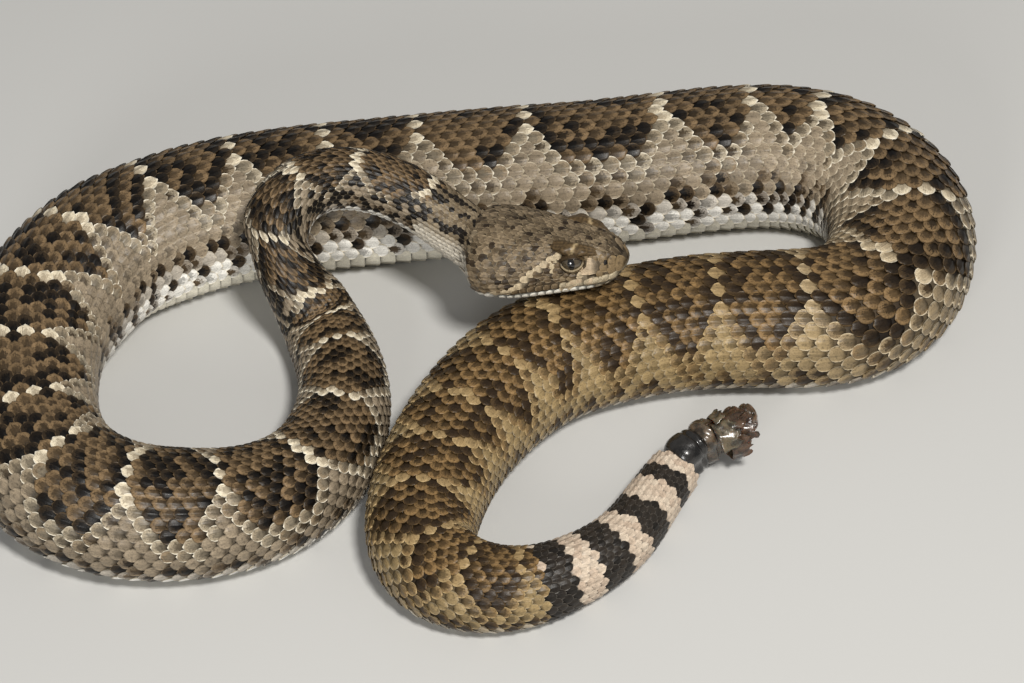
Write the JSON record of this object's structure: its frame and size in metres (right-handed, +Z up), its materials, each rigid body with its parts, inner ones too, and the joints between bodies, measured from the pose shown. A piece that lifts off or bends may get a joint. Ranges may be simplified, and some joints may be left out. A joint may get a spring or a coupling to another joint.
{
  "type": "rattlesnake figure",
  "caption": "Life-size western diamondback rattlesnake lying in a loose loop, with its neck crossing over the body, its head resting on it and its rattle raised.",
  "frame": {"origin": "on the floor, below the centre of the box that holds the whole snake", "axes": "+X to the right as the picture shows the snake, along its longest side and the way its head points; +Y away from the camera; +Z up"},
  "size_m": [0.2739, 0.1833, 0.0453],
  "materials": {
    "head": "small keeled scales, brown with darker flecks",
    "lower_jaw": "smooth pale chin scales",
    "eye": "wet gloss with an upright slit pupil",
    "neck": "keeled scales with black streaks",
    "trunk": "keeled scales with pale-edged brown diamonds",
    "tail": "keeled scales in black and pale grey bands",
    "rattle": "worn, slightly see-through horn"
  },
  "bodies": {
    "root": {"head": "head", "lower_jaw": "lower_jaw", "eye_left": "eye", "eye_right": "eye", "neck": "neck", "trunk_01": "trunk", "trunk_02": "trunk", "trunk_03": "trunk", "trunk_04": "trunk", "trunk_05": "trunk", "trunk_06": "trunk", "trunk_07": "trunk", "trunk_08": "trunk", "trunk_09": "trunk", "trunk_10": "trunk", "trunk_11": "trunk", "tail": "tail", "rattle_base": "rattle", "rattle_2": "rattle", "rattle_3": "rattle", "rattle_4": "rattle", "rattle_5": "rattle"}
  },
  "joints": []
}
